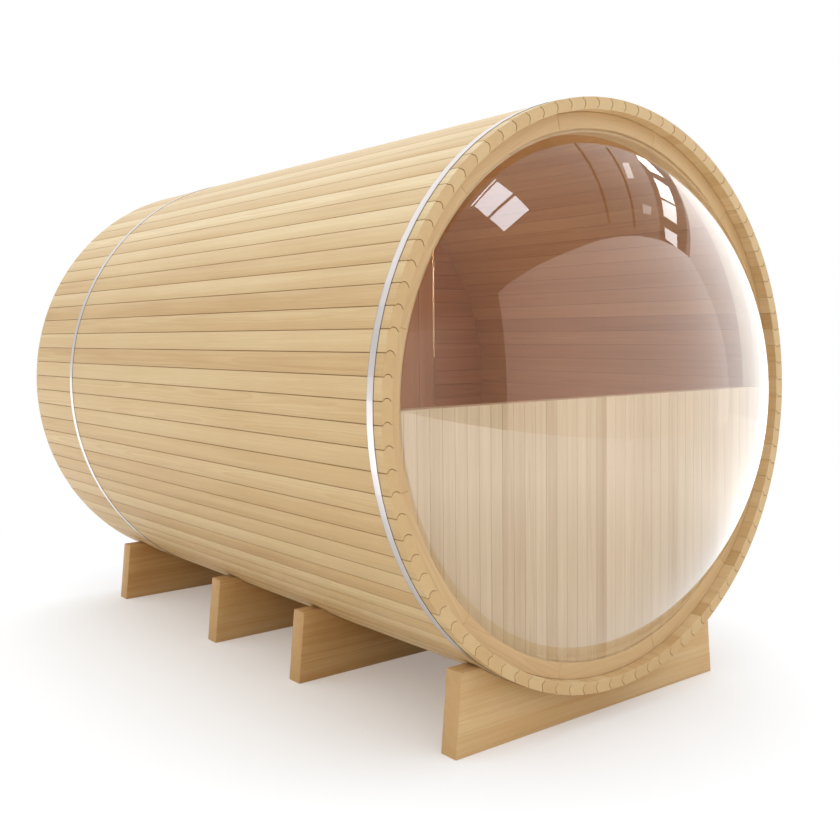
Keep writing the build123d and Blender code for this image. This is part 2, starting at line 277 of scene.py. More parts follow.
class Pile:
    """Boards gathered into one mesh, each vertex with its place in its own board.

    Each face knows whether it is a cut end or looks into the room, where it is painted browner as shade,
    each corner how dark its joint is painted, partly as soil and partly as shade.
    """

    def __init__(self):
        self.points, self.faces, self.grain, self.tone = [], [], [], []
        self.cut, self.room, self.soil_and_shade = [], [], []

    def add(self, points, faces, local, tone, shift, cuts=(), soil_and_shade=None, room=()):
        start = len(self.points)
        self.points += [tuple(p) for p in points]
        self.grain += [
            (a + shift[0] + shift[3] * b, b + shift[1], c + shift[2] + shift[4] * b) for a, b, c in local
        ]
        self.tone += [tone] * len(points)
        for number, face in enumerate(faces):
            self.faces.append([start + i for i in face])
            self.cut.append(1.0 if number in cuts else 0.0)
            self.room.append(1.0 if number in room else 0.0)
            self.soil_and_shade += [0.0 if soil_and_shade is None or number in cuts else soil_and_shade[i] for i in face]

    def make(self, name, material, body, nodes, slot, smooth=None):
        mesh = bpy.data.meshes.new(name)
        mesh.from_pydata(self.points, [], self.faces)
        for key, kind, domain, field, values in (
            ("grain", "FLOAT_VECTOR", "POINT", "vector", self.grain),
            ("tone", "FLOAT", "POINT", "value", self.tone),
            ("cut", "FLOAT", "FACE", "value", self.cut),
            ("room", "FLOAT", "FACE", "value", self.room),
            ("soil_and_shade", "FLOAT", "CORNER", "value", self.soil_and_shade),
        ):
            layer = mesh.attributes.new(key, kind, domain)
            layer.data.foreach_set(field, np.array(values, np.float32).ravel())
        mesh.materials.append(material)
        if smooth is not None:
            mesh.polygons.foreach_set("use_smooth", [True] * len(mesh.polygons))
            mesh.set_sharp_from_angle(angle=math.radians(smooth))
        show(mesh, name, body, nodes)


def show(mesh, name, body, nodes):
    """Puts a mesh in the scene as a piece on a CAD body, in place of the named nodes."""
    piece = bpy.data.objects.new(name, mesh)
    bpy.context.scene.collection.objects.link(piece)
    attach(piece, body)
    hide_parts(*nodes)


def log_shift(rng):
    """Where a board lies in its log: the pith beside or under it, and its slant along the board."""
    if rng.random() < 0.22:
        pith = (rng.uniform(-0.02, 0.02), rng.uniform(0.03, 0.07))
    else:
        pith = (rng.choice((-1, 1)) * rng.uniform(0.06, 0.14), rng.uniform(-0.05, 0.05))
    return (pith[0], rng.uniform(-40, 40), pith[1], rng.uniform(-0.006, 0.006), rng.uniform(-0.01, 0.01))


def tone_of(rng, spread=0.2):
    return min(1.0, max(0.0, rng.gauss(0.45, spread)))


def board(pile, rng, across, along, depth, place, ease=0.0015, steps=1, tone=None, spans=1, soil_and_shade=0.0, room="",
          fibre=None):
    """One eased board. along(a) gives its two ends at a place across it, place(a, l, d) gives row coordinates.

    Its joints are darkened by the given share, partly as soil and partly as painted shade; room is "face" or
    "all" for what looks into the room and takes its painted shade, and fibre gives the place in the board from
    row coordinates where the grain doesn't follow the board's own lines.
    """
    low, high = across
    face, back = depth
    inward = math.copysign(ease, back - face)
    inner = np.linspace(low + ease, high - ease, steps + 1)
    columns = [low, *inner, high]
    last = len(columns) - 1
    points, local, soils_and_shades = [], [], []
    rows = spans + 3
    middle = (low + high) / 2
    for level, offset in ((face, inward), (back, -inward)):
        for row in range(rows):
            for number, a in enumerate(columns):
                start, end = along(a)
                reach = min(ease, (end - start) / 3)
                length = start + reach + (end - start - 2 * reach) * (row - 1) / spans
                length = start if row == 0 else end if row == rows - 1 else length
                edge = row in (0, rows - 1) or number in (0, last)
                d = level + (offset if edge else 0.0)
                points.append(place(a, length, d))
                local.append(fibre(points[-1]) if fibre else (a - middle, length, d - face))
                # A board's long edges take the joint darkening: soil and painted shade
                soils_and_shades.append(soil_and_shade if number in (0, last) else 0.0)
    width = last + 1
    faces, cuts = [], set()
    for side in (0, 1):
        base = side * rows * width
        for row in range(rows - 1):
            for number in range(last):
                quad = [base + row * width + number, base + row * width + number + 1]
                quad += [base + (row + 1) * width + number + 1, base + (row + 1) * width + number]
                faces.append(quad if side == 0 else quad[::-1])
    rim = [(0, n) for n in range(width)] + [(r, last) for r in range(1, rows - 1)]
    rim += [(rows - 1, n) for n in range(last, -1, -1)] + [(r, 0) for r in range(rows - 2, 0, -1)]
    ring = [r * width + n for r, n in rim]
    for number, first in enumerate(ring):
        second = ring[(number + 1) % len(ring)]
        if rim[number][0] == rim[(number + 1) % len(rim)][0] and rim[number][0] in (0, rows - 1):
            cuts.add(len(faces))
        faces.append([second, first, first + rows * width, second + rows * width])
    p = [Vector(points[i]) for i in faces[0]]
    towards = Vector(place(middle, 0, face)) - Vector(place(middle, 0, back))
    if (p[1] - p[0]).cross(p[2] - p[1]).dot(towards) < 0:
        faces = [f[::-1] for f in faces]
    looking = range({"": 0, "face": (rows - 1) * last, "all": len(faces)}[room])
    pile.add(points, faces, local, tone_of(rng) if tone is None else tone, log_shift(rng), cuts, soils_and_shades, looking)


def chord(radius, offset):
    """Half the width of the barrel's round of that radius, at a distance from its axis."""
    return math.sqrt(max(radius**2 - offset**2, 0.0))


def plank(pile, rng, outline, y_low, y_high, ease, tone=None):
    """A plank on edge across the barrel, with eased edges; outline is its (x, z) contour, anticlockwise."""
    work = bmesh.new()
    ring = [work.verts.new((x, y_low, z)) for x, z in outline]
    face = work.faces.new(ring)
    moved = bmesh.ops.extrude_face_region(work, geom=[face])["geom"]
    for vertex in (g for g in moved if isinstance(g, bmesh.types.BMVert)):
        vertex.co.y = y_high
    bmesh.ops.recalc_face_normals(work, faces=work.faces)
    rims = [e for e in work.edges if len(e.link_faces) == 2 and e.calc_face_angle() > math.radians(30)]
    bmesh.ops.bevel(work, geom=rims, offset=ease, segments=2, profile=0.5, affect="EDGES", clamp_overlap=True)
    work.verts.ensure_lookup_table()
    points = [tuple(v.co) for v in work.verts]
    faces = [[v.index for v in f.verts] for f in work.faces]
    cuts = {n for n, f in enumerate(work.faces) if abs(f.normal.x) > 0.8}
    work.free()
    local = [(z, x, y - y_low) for x, y, z in points]
    pile.add(points, faces, local, tone_of(rng) if tone is None else tone, log_shift(rng), cuts)


# Staves

def stave_outline():
    """The top stave's section about an axis at z = 0, the number of its first inner point, and its painted
    joint shade and soil.
    """
    def side(sign, along, offset):
        x = along * math.sin(HALF_PITCH) + offset * math.cos(HALF_PITCH)
        return (sign * x, along * math.cos(HALF_PITCH) - offset * math.sin(HALF_PITCH))

    top = RADIUS - BEAD_OUTER_SHOULDER
    bottom = INNER_FLAT + BEAD_INNER_SHOULDER
    middle, half = (top + bottom) / 2, (top - bottom) / 2
    round_radius = (half**2 + BEAD_HEIGHT**2) / (2 * BEAD_HEIGHT)
    depth = round_radius - BEAD_HEIGHT
    inset = -JOINT_GAP / 2

    def curve(sign, radius, sink, reach):
        turn = math.asin(reach / radius)
        turns = [turn * (1 - i / 6) for i in range(13)]
        return [
            side(sign, middle + radius * math.sin(t), inset + sign * (radius * math.cos(t) - sink))
            for t in turns
        ]

    cove_radius, cove_sink = round_radius + JOINT_GAP, depth + JOINT_GAP
    bead = curve(1, round_radius, depth, half)
    cove = curve(-1, cove_radius, cove_sink, math.sqrt(cove_radius**2 - cove_sink**2))
    flat = OUTER_FLAT * math.tan(HALF_PITCH)
    ease = []
    drop, descent = 0.32, 1.2
    for share in (0.0, 0.5, 1.0):
        out = (flat - STAVE_EASE * (1 - share), OUTER_FLAT - STAVE_EASE * drop * share)
        down = side(1, RADIUS - STAVE_EASE * descent * share, inset)
        ease.append((out[0] * (1 - share) + down[0] * share, out[1] * (1 - share) + down[1] * share))
    inner = (INNER_FLAT + inset * math.sin(HALF_PITCH)) / math.cos(HALF_PITCH)
    croze = inner + CROZE_DEPTH
    points = ease + bead + [side(1, croze, inset), side(1, inner, inset)]
    points += [side(-1, inner, inset), side(-1, croze, inset)] + cove[::-1] + [(-x, z) for x, z in ease[::-1]]
    first = len(ease) + len(bead)
    # Points in the V, the bead and the cove are darkened: painted shade in the joint, partly soil
    soil_and_shade = [0.0, 0.6, 1.0] + [1.0] * len(bead) + [0.0] * 4 + [1.0] * len(cove) + [1.0, 0.6, 0.0]
    return points, first, soil_and_shade


def stave_mesh():
    """One stave, eased at both ends, with a groove for each cross wall.

    Gives its points and faces, which faces are cut ends, its points' joint darkening (soil and painted shade),
    and which faces look into the room and take its painted shade.
    """
    outline, first, soil_and_shade = stave_outline()
    count = len(outline)
    centre_z = OUTER_FLAT - STAVE_THICKNESS / 2
    ease, half_width = 0.0012, 0.034
    narrow, thin = 1 - ease / half_width, 1 - ease / (STAVE_THICKNESS / 2)
    shrunk = [(x * narrow, centre_z + (z - centre_z) * thin) for x, z in outline]
    rings = [(FRONT_Y, shrunk), (FRONT_Y + ease, outline)]
    rings += [(y, outline) for y in (WALL_FRONT - SEAT_GAP, WALL_BACK + SEAT_GAP)]
    rings += [(y, outline) for y in (CROSS_FRONT - SEAT_GAP, CROSS_BACK + SEAT_GAP)]
    rings += [(BACK_Y - ease, outline), (BACK_Y, shrunk)]
    points = [(x, y, z) for y, ring in rings for x, z in ring]
    faces, room = [], set()
    inside = {first, first + 1, first + 2}
    for number in range(len(rings) - 1):
        base, after = number * count, (number + 1) * count
        grooved = number in (2, 4)
        for i in range(count):
            if not (grooved and i in inside):
                # The inner faces between the walls look into the room and take its painted shade
                if number == 3 and i in inside:
                    room.add(len(faces))
                j = (i + 1) % count
                faces.append([base + i, after + i, after + j, base + j])
        if grooved:
            faces.append([base + first, after + first, after + first + 3, base + first + 3])
            wall = [first, first + 1, first + 2, first + 3]
            faces.append([base + i for i in wall[::-1]])
            faces.append([after + i for i in wall])
    cuts = {len(faces), len(faces) + 1}
    faces.append(list(range(count)))
    faces.append([(len(rings) - 1) * count + i for i in reversed(range(count))])
    return points, faces, cuts, soil_and_shade * len(rings), room


def build_staves():
    rng = random.Random(1235)
    points, faces, cuts, soil_and_shade, room = stave_mesh()
    piles = {name: Pile() for name in SECTORS}
    local = [(x, y, z - OUTER_FLAT) for x, y, z in points]
    for i in range(STAVES):
        turn = math.pi + i * 2 * HALF_PITCH
        sine, cosine = math.sin(turn), math.cos(turn)
        placed = [(x * cosine + z * sine, y, AXIS_Z - x * sine + z * cosine) for x, y, z in points]
        sector = SECTORS[round(i * len(SECTORS) / STAVES) % len(SECTORS)]
        piles[sector].add(placed, faces, local, tone_of(rng, 0.3), log_shift(rng), cuts, soil_and_shade, room)
    for name, pile in piles.items():
        pile.make(f"stave_boards_{name}", STAVE_WOOD, "sauna", [f"staves_{name}"], "stave_wood", 35)


def build_bands():
    """Two strips, flat on each stave and softly bent at each joint."""
    for end in ("front", "back"):
        low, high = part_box(f"band_{end}")
        inner = OUTER_FLAT + SEAT_GAP
        outer = high.z - AXIS_Z
        edge, fall = 0.0025, 0.0006
        flat_share, bend_rise = 0.9, 0.45
        section = [(inner, low.y), (outer - fall, low.y), (outer, low.y + edge)]
        section += [(outer, high.y - edge), (outer - fall, high.y), (inner, high.y)]
        points, local, faces = [], [], []
        turns = []
        for i in range(STAVES):
            middle = i * 2 * HALF_PITCH
            turns += [(middle - HALF_PITCH * flat_share, 0), (middle + HALF_PITCH * flat_share, 0)]
            turns.append((middle + HALF_PITCH, 1))
        for turn, bend in turns:
            offset = (turn / (2 * HALF_PITCH) - round(turn / (2 * HALF_PITCH))) * 2 * HALF_PITCH
            for flat, y in section:
                r = flat / math.cos(offset) if not bend else flat * (1 + bend_rise * HALF_PITCH**2)
                points.append((r * math.sin(turn), y, AXIS_Z + r * math.cos(turn)))
                local.append((turn, y, flat - inner))
        count = len(section)
        for n in range(len(turns)):
            base, after = n * count, (n + 1) % len(turns) * count
            for i in range(count):
                j = (i + 1) % count
                faces.append([base + i, base + j, after + j, after + i])
        pile = Pile()
        # The strip's sides and their falls take the dark edge: a painted shadow line, partly soil
        pile.add(points, faces, local, 0.5, (0, 0, 0, 0, 0), (), [1.0, 1.0, 0.0, 0.0, 1.0, 1.0] * len(turns))
        pile.make(f"band_strip_{end}", STAINLESS, "sauna", [f"band_{end}"], "band_steel", 40)


def build_cradles():
    rng = random.Random(4)
    seat = RADIUS + SEAT_GAP
    steps = 48
    for end in ("front", "mid_front", "mid_back", "back"):
        low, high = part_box(f"cradle_{end}")
        half_foot, top = high.x, high.z
        half_top = half_foot - CRADLE_SLANT
        reach = math.asin(chord(seat, AXIS_Z - top) / seat)
        arc = [reach * (1 - 2 * i / steps) for i in range(steps + 1)]
        outline = [(-half_foot, 0.0), (half_foot, 0.0), (half_top, top)]
        outline += [(seat * math.sin(t), AXIS_Z - seat * math.cos(t)) for t in arc]
        outline += [(-half_top, top)]
        pile = Pile()
        # Painted shade: the cradles in the barrel's shadow get a deeper tone than the lit front one
        tone = 0.25 if end == "front" else rng.uniform(0.55, 0.75)
        plank(pile, rng, outline, low.y, high.y, 0.003, tone)
        pile.make(f"cradle_plank_{end}", CRADLE_WOOD, "sauna", [f"cradle_{end}"], "cradle_wood", 30)


def arc_board(pile, rng, radii, turns, depth, ease, tone):
    """A curved board about the barrel's axis, sawn from a straight one; turns run clockwise from the top."""
    middle, turn = sum(radii) / 2, sum(turns) / 2
    sine, cosine = math.sin(turn), math.cos(turn)

    def fibre(point):
        x, y, z = point[0], point[1], point[2] - AXIS_Z
        return (x * sine + z * cosine - middle, x * cosine - z * sine, y - depth[0])

    board(
        pile, rng, radii, lambda a: (turns[0] * middle, turns[1] * middle), depth,
        lambda a, l, d: (a * math.sin(l / middle), d, AXIS_Z + a * math.cos(l / middle)),
        ease, 1, tone, max(2, round((turns[1] - turns[0]) / math.radians(2))), fibre=fibre,
    )


def build_front_wall():
    """Upright boards in the lower half, an arch over the half-round opening, and a ring round the dome."""
    rng = random.Random(49)
    lower, arch, ring = Pile(), Pile(), Pile()
    count = 2 * math.ceil(CROZE_RADIUS / FRONT_BOARD)
    depth = (WALL_FRONT, WALL_BACK)
    for i in range(count):
        low = (i - count / 2) * FRONT_BOARD + 0.00015
        high = low + FRONT_BOARD - 0.0003
        low, high = max(low, -CROZE_RADIUS + 0.002), min(high, CROZE_RADIUS - 0.002)
        if high - low > 0.008:
            steps = 12 if max(abs(low), abs(high)) > 0.8 else 4
            ends = lambda a: (AXIS_Z - chord(CROZE_RADIUS, a), AXIS_Z - SEAT_GAP)
            # Joint edges painted darker: partly soil, partly painted shade
            board(lower, rng, (low, high), ends, depth, lambda a, l, d: (a, d, l), 0.0015, steps,
                  tone_of(rng, 0.26), soil_and_shade=0.35)
    lower.make("front_boards_lower", FRONT_WOOD, "sauna", ["front_wall_lower"], "front_wall_wood")
    seam = 0.0003
    for first, last in ((-90, -30), (-30, 30), (30, 90)):
        turns = (math.radians(first) + seam, math.radians(last) - seam)
        arc_board(arch, rng, (WINDOW_RADIUS, CROZE_RADIUS), turns, depth, 0.0015, rng.uniform(0.35, 0.55))
    nodes = ["front_arch_left", "front_arch_right", "front_arch_top"]
    arch.make("front_arch_boards", FRONT_WOOD, "sauna", nodes, "front_wall_wood", 30)
    low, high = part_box("front_ring")
    radii = (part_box("dome")[1].x + SEAT_GAP, high.x)
    half = math.pi / RING_SEGMENTS
    for number in range(RING_SEGMENTS):
        turns = ((2 * number - 1) * half + seam, (2 * number + 1) * half - seam)
        arc_board(ring, rng, radii, turns, (low.y, high.y - SEAT_GAP), 0.0015, rng.uniform(0.4, 0.6))
    ring.make("dome_ring", RING_WOOD, "sauna", ["front_ring"], "front_wall_wood", 30)


def build_dome():
    """The dome turned from its outer and inner round; its cut edge stands on the wall."""
    low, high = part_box("dome")
    rim, rest = high.x, high.y - SEAT_GAP
    rise = high.y - low.y
    outer = (rim**2 + rise**2) / (2 * rise)
    inner = outer - DOME_THICKNESS
    centre = low.y + outer
    rows = 48
    section = []
    for radius, steps in ((outer, range(1, rows + 1)), (inner, range(rows, 0, -1))):
        turn = math.acos((centre - rest) / radius)
        turns = [turn * i / rows for i in steps]
        section += [(radius * math.sin(t), centre - radius * math.cos(t)) for t in turns]
    around = 180
    points = [(0.0, low.y, AXIS_Z), (0.0, centre - inner, AXIS_Z)]
    for i in range(around):
        sine, cosine = math.sin(2 * math.pi * i / around), math.cos(2 * math.pi * i / around)
        points += [(r * sine, y, AXIS_Z + r * cosine) for r, y in section]
    count = len(section)
    faces = []
    for i in range(around):
        base, after = 2 + i * count, 2 + (i + 1) % around * count
        faces.append([0, after, base])
        faces.append([1, base + count - 1, after + count - 1])
        for j in range(count - 1):
            faces.append([base + j, after + j, after + j + 1, base + j + 1])
    mesh = bpy.data.meshes.new("dome_shell")
    mesh.from_pydata(points, [], faces)
    mesh.polygons.foreach_set("use_smooth", [True] * len(mesh.polygons))
    mesh.set_sharp_from_angle(angle=math.radians(25))
    mesh.materials.append(DOME)
    show(mesh, "dome_shell", "sauna", ["dome"])


def build_cross_wall():
    rng = random.Random(7)
    depth = (CROSS_FRONT, CROSS_BACK)
    upright = lambda a, l, d: (a, d, l)
    for side, sign in (("left", -1), ("right", 1)):
        low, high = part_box(f"cheek_{side}")
        start = low.x if sign > 0 else -high.x
        pile = Pile()
        ends = lambda a: (start, max(chord(CROZE_RADIUS, a - AXIS_Z), start + 0.001))
        turned = lambda a, l, d: (sign * l, d, a)
        z = low.z
        while z < high.z - 0.004:
            top = min(z + CHEEK_BOARD, high.z)
            # Joint edges painted darker: partly soil, partly painted shade
            board(pile, rng, (z + 0.0002, top - 0.0002), ends, depth, turned, 0.0016, 6, soil_and_shade=0.7, room="face")
            z = top
        pile.make(f"cheek_boards_{side}", INNER_WOOD, "sauna", [f"cheek_{side}"], "inner_wall_wood")
        for node, ease in (("jamb", 0.002), ("upright", 0.003), ("casing", 0.003)):
            low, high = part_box(f"{node}_{side}")
            if node == "jamb":
                ends = lambda a: (AXIS_Z - chord(CROZE_RADIUS, a), AXIS_Z + chord(CROZE_RADIUS, a))
            else:
                ends = lambda a: (low.z, AXIS_Z + chord(LINING_RADIUS, a))
            pile = Pile()
            outer = max(abs(low.x), abs(high.x)) - UPRIGHT_BEVEL
            lean = UPRIGHT_LEAN / (high.y - low.y) if node == "upright" else 0.0
            bevelled = lambda a, l, d: (a, d + max(abs(a) - outer, 0.0) * lean * (high.y - d), l)
            board(pile, rng, (low.x, high.x), ends, (low.y, high.y), bevelled, ease, 5, 0.1,
                  room="all" if node == "upright" else "face")
            if node == "upright":
                # The bevel is left out of the painted room shade, so it reads paler, as a lit edge
                slanted = [all(abs(pile.points[i][0]) > outer - 0.001 for i in face) for face in pile.faces]
                pile.room = [0.0 if on_bevel else 1.0 for on_bevel in slanted]
            pile.make(f"{node}_board_{side}", INNER_WOOD, "sauna", [f"{node}_{side}"], "inner_wall_wood")
    low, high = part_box("casing_head")
    pile = Pile()
    board(pile, rng, (low.x, high.x), lambda a: (low.z, AXIS_Z + chord(LINING_RADIUS, a)), (low.y, high.y),
          upright, 0.003, 12, room="face")
    pile.make("casing_board_head", INNER_WOOD, "sauna", ["casing_head"], "inner_wall_wood")
    low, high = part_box("wall_over_door")
    pile = Pile()
    board(pile, rng, (low.x, high.x), lambda a: (low.z, AXIS_Z + chord(CROZE_RADIUS, a)), depth, upright,
          0.002, 12, room="face")
    pile.make("header_board", INNER_WOOD, "sauna", ["wall_over_door"], "inner_wall_wood")
    low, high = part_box("door_sill")
    pile = Pile()
    board(pile, rng, (low.x, high.x), lambda a: (AXIS_Z - chord(CROZE_RADIUS, a), high.z), depth, upright,
          0.002, 12, room="face")
    pile.make("sill_board", INNER_WOOD, "sauna", ["door_sill"], "inner_wall_wood")


def build_floors():
    rng = random.Random(28)
    for node in ("floor_room", "floor_porch"):
        low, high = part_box(node)
        width = (high.x - low.x - (FLOOR_BOARDS - 1) * FLOOR_GAP) / FLOOR_BOARDS
        pile = Pile()
        for i in range(FLOOR_BOARDS):
            start = low.x + i * (width + FLOOR_GAP)
            board(pile, rng, (start, start + width), lambda a: (low.y, high.y), (high.z, low.z),
                  lambda a, l, d: (a, l, d), 0.003, 1, room="all" if node == "floor_room" else "")
        pile.make(f"{node}_boards", INNER_WOOD, "sauna", [node], "floor_wood")
    low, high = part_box("floor_bearers")
    starts = sorted({round(v.co.y, 4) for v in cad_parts["floor_bearers"].data.vertices})
    radius = LINING_RADIUS
    reach = math.asin(high.x / radius)
    steps = 32
    turns = [reach * (2 * i / steps - 1) for i in range(steps + 1)]
    outline = [(radius * math.sin(t), AXIS_Z - radius * math.cos(t)) for t in turns]
    pile = Pile()
    for y_low, y_high in zip(starts[::2], starts[1::2]):
        plank(pile, rng, outline, y_low, y_high, 0.002)
    pile.make("bearer_planks", INNER_WOOD, "sauna", ["floor_bearers"], "floor_wood", 30)


def eased_box(pile, rng, low, high, axis, ease):
    """A box with eased edges and its grain along one axis."""
    work = bmesh.new()
    bmesh.ops.create_cube(work, size=1.0)
    for v in work.verts:
        v.co = Vector(low) + Vector((c + 0.5) * (h - l) for c, l, h in zip(v.co, low, high))
    bmesh.ops.bevel(work, geom=work.edges[:], offset=ease, segments=2, profile=0.5, affect="EDGES")
    work.verts.ensure_lookup_table()
    points = [tuple(v.co) for v in work.verts]
    faces = [[v.index for v in f.verts] for f in work.faces]
    cuts = {n for n, f in enumerate(work.faces) if abs(f.normal[axis]) > 0.8}
    work.free()
    others = [i for i in range(3) if i != axis]
    local = [(p[others[0]], p[axis], p[others[1]]) for p in points]
    pile.add(points, faces, local, tone_of(rng), log_shift(rng), cuts)


def build_door():
    rng = random.Random(8)
    low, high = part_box("door_leaf")
    width = (high.x - low.x) / DOOR_BOARDS
    pile = Pile()
    for i in range(DOOR_BOARDS):
        start = low.x + i * width
        # Joint edges painted darker: partly soil, partly painted shade
        board(pile, rng, (start + 0.00015, start + width - 0.00015), lambda a: (low.z, high.z), (low.y, high.y),
              lambda a, l, d: (a, d, l), 0.0025, 1, soil_and_shade=0.7, room="face")
    pile.make("door_boards", INNER_WOOD, "door", ["door_leaf"], "door_wood")
    pile = Pile()
    low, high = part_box("door_ledges")
    for z_low in (low.z, high.z - LEDGE_WIDTH):
        eased_box(pile, rng, (low.x, low.y, z_low), (high.x, high.y, z_low + LEDGE_WIDTH), 0, 0.004)
    pile.make("door_ledge_boards", INNER_WOOD, "door", ["door_ledges"], "door_wood", 30)
    low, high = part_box("door_handles")
    leaf_low, leaf_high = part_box("door_leaf")
    pile = Pile()
    middle_x = (low.x + high.x) / 2
    for bar_low, bar_high, post in (
        (low.y, low.y + PULL_WIDTH, (low.y + PULL_POST_START, leaf_low.y)),
        (high.y - PULL_WIDTH, high.y, (leaf_high.y, high.y - PULL_POST_START)),
    ):
        eased_box(pile, rng, (low.x, bar_low, low.z), (high.x, bar_high, high.z), 2, 0.006)
        for z in (low.z + PULL_POST_INSET, high.z - PULL_POST_INSET):
            post_low = (middle_x - PULL_POST_HALF, post[0], z - PULL_POST_HALF)
            post_high = (middle_x + PULL_POST_HALF, post[1], z + PULL_POST_HALF)
            eased_box(pile, rng, post_low, post_high, 1, 0.002)
    pile.make("door_pulls", CRADLE_WOOD, "door", ["door_handles"], "handle_wood", 30)
    for node in ("hinge_frame_plates", "hinge_leaf_plates"):
        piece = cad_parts[node]
        piece.data.materials.clear()
        piece.data.materials.append(HINGE_STEEL)


# Camera, light and floor

def build_camera():
    """The photograph's viewpoint: left of the dome end, at chest height."""
    yaw, pitch, roll = (math.radians(a) for a in CAMERA_TURNS)
    forward = Vector((math.sin(yaw) * math.cos(pitch), math.cos(yaw) * math.cos(pitch), -math.sin(pitch)))
    right = Vector((math.cos(yaw), -math.sin(yaw), 0.0))
    down = forward.cross(right)
    turned_right = math.cos(roll) * right + math.sin(roll) * down
    turned_down = -math.sin(roll) * right + math.cos(roll) * down
    data = bpy.data.cameras.new("camera")
    data.sensor_width = SENSOR_WIDTH
    data.lens = FOCAL_LENGTH / IMAGE_SIZE * SENSOR_WIDTH
    data.shift_x = (IMAGE_SIZE / 2 - CENTRE_X) / IMAGE_SIZE
    data.shift_y = (CENTRE_Y - IMAGE_SIZE / 2) / IMAGE_SIZE
    data.clip_end = 200.0
    camera = bpy.data.objects.new("camera", data)
    bpy.context.scene.collection.objects.link(camera)
    place = Matrix((turned_right, -turned_down, -forward)).transposed().to_4x4()
    place.translation = CAMERA_PLACE
    camera.matrix_world = place
    bpy.context.scene.camera = camera


def glow(name, corners, radiance, right=None, fade=(-3.0, 6.5)):
    """A plain panel outside the picture that only the mirror of the dome and the bands shows.

    Where right is given, the panel fades from one radiance to the other between two places along X.
    """
    mesh = bpy.data.meshes.new(name)
    mesh.from_pydata(corners, [], [list(range(len(corners)))])
    strength = max(radiance + (right or radiance))
    colour = tuple(share / strength for share in radiance) + (1.0,)
    s = Shader(name)
    if right:
        position = s.add("ShaderNodeNewGeometry").outputs["Position"]
        place = s.add("ShaderNodeSeparateXYZ", {0: position}).outputs["X"]
        inputs = {"Value": place, "From Min": fade[0], "From Max": fade[1]}
        share = s.add("ShaderNodeMapRange", inputs).outputs["Result"]
        colour = s.mix(share, colour, tuple(value / strength for value in right) + (1.0,))
    light = s.add("ShaderNodeEmission", {"Color": colour, "Strength": strength}).outputs[0]
    mesh.materials.append(s.finish(light))
    panel = bpy.data.objects.new(name, mesh)
    bpy.context.scene.collection.objects.link(panel)
    panel.visible_camera = panel.visible_diffuse = panel.visible_shadow = False


def build_hall():
    """The hall round the sauna, as far as the dome mirrors it."""
    roof_height = 7.0
    panes = [
        [(-0.41, -2.30), (-0.30, -2.75), (-1.22, -3.16), (-1.26, -2.70)],
        [(-0.28, -2.83), (-0.19, -3.35), (-1.12, -3.80), (-1.20, -3.22)],
        [(-0.40, -2.22), (-0.42, -2.26), (-1.26, -2.66), (-1.35, -2.66)],
    ]
    for number, pane in enumerate(panes):
        glow(f"roof_window_{number}", [(x, y, 5.2) for x, y in pane], (6.3, 6.7, 7.3))
    panes = [
        [(5.13, -1.54), (5.59, -1.29), (5.44, -2.21), (4.99, -2.42)],
        [(5.50, -3.60), (6.15, -3.53), (6.01, -4.07), (5.44, -4.20)],
    ]
    for number, (pane, level) in enumerate(zip(panes, (2.6, 1.7))):
        glow(f"roof_pane_{number}", [(x, y, roof_height) for x, y in pane], (level, level, level))
    for number, (low, high, near, far) in enumerate(((3.17, 3.30, -1.2, -5.3), (4.68, 4.84, -0.9, -5.3))):
        corners = [(x, y, roof_height) for x, y in ((low, near), (high, near), (high, far), (low, far))]
        glow(f"roof_beam_{number}", corners, (0.15, 0.14, 0.13))
    wall = [
        (-2.75, 0.0), (-2.77, 5.19), (-2.24, 5.39), (-1.64, 5.51), (-0.70, 5.67), (0.18, 5.74), (1.08, 5.83),
        (2.03, 5.94), (3.02, 5.96), (4.09, 5.94), (5.23, 5.80), (6.21, 5.58), (6.87, 5.26), (6.87, 0.0),
    ]
    side = [(-30.0, 0.0), (-30.0, 12.0), (-2.75, 3.6), (-2.75, 0.0)]
    slope = (6.72 - 4.28) / (6.72 + 3.55)
    corners = [[(x, -6.72 + (x + 3.55) * slope, z) for x, z in outline] for outline in (wall, side)]
    glow("front_wall_panel", corners[0], (1.41, 1.12, 1.03), (2.25, 2.25, 2.25))
    glow("left_wall_panel", corners[1], (1.05, 1.02, 0.98), (0.45, 0.45, 0.45), (-9.0, -4.5))
    wall = [(-5.12, 0.0), (12.0, 0.0), (12.0, 6.4), (1.1, 6.6), (-5.12, 6.3)]
    glow("right_wall_panel", [(9.0, y, z) for y, z in wall], (1.85, 1.85, 1.85))
    strips = [
        [(0.55, 8.32), (0.48, 7.68), (-0.20, 7.03), (-0.66, 8.02), (-0.14, 8.48)],
        [(-1.09, 8.03), (-0.86, 7.05), (-2.05, 7.01), (-2.59, 8.05)],
        [(-2.74, 8.04), (-2.20, 7.01), (-3.65, 7.12), (-4.10, 8.10)],
        [(-5.05, 8.09), (-4.46, 7.11), (-5.49, 7.02), (-5.93, 8.02)],
    ]
    for number, strip in enumerate(strips):
        glow(f"strip_window_{number}", [(8.6, y, z) for y, z in strip], (4.0, 4.1, 4.2))
    band = [(-6.5, 6.45), (2.0, 6.45), (2.0, 8.6), (-6.5, 8.6)]
    glow("strip_wall_panel", [(8.7, y, z) for y, z in band], (0.30, 0.29, 0.28))


def lamp(name, kind, place, target, energy, colour, **settings):
    """A lamp that is not seen itself."""
    data = bpy.data.lights.new(name, kind)
    data.energy, data.color = energy, colour
    for key, value in settings.items():
        setattr(data, key, value)
    piece = bpy.data.objects.new(name, data)
    piece.location = place
    piece.rotation_euler = (Vector(target) - Vector(place)).to_track_quat("-Z", "Y").to_euler()
    piece.visible_camera = piece.visible_glossy = piece.visible_transmission = False
    bpy.context.scene.collection.objects.link(piece)


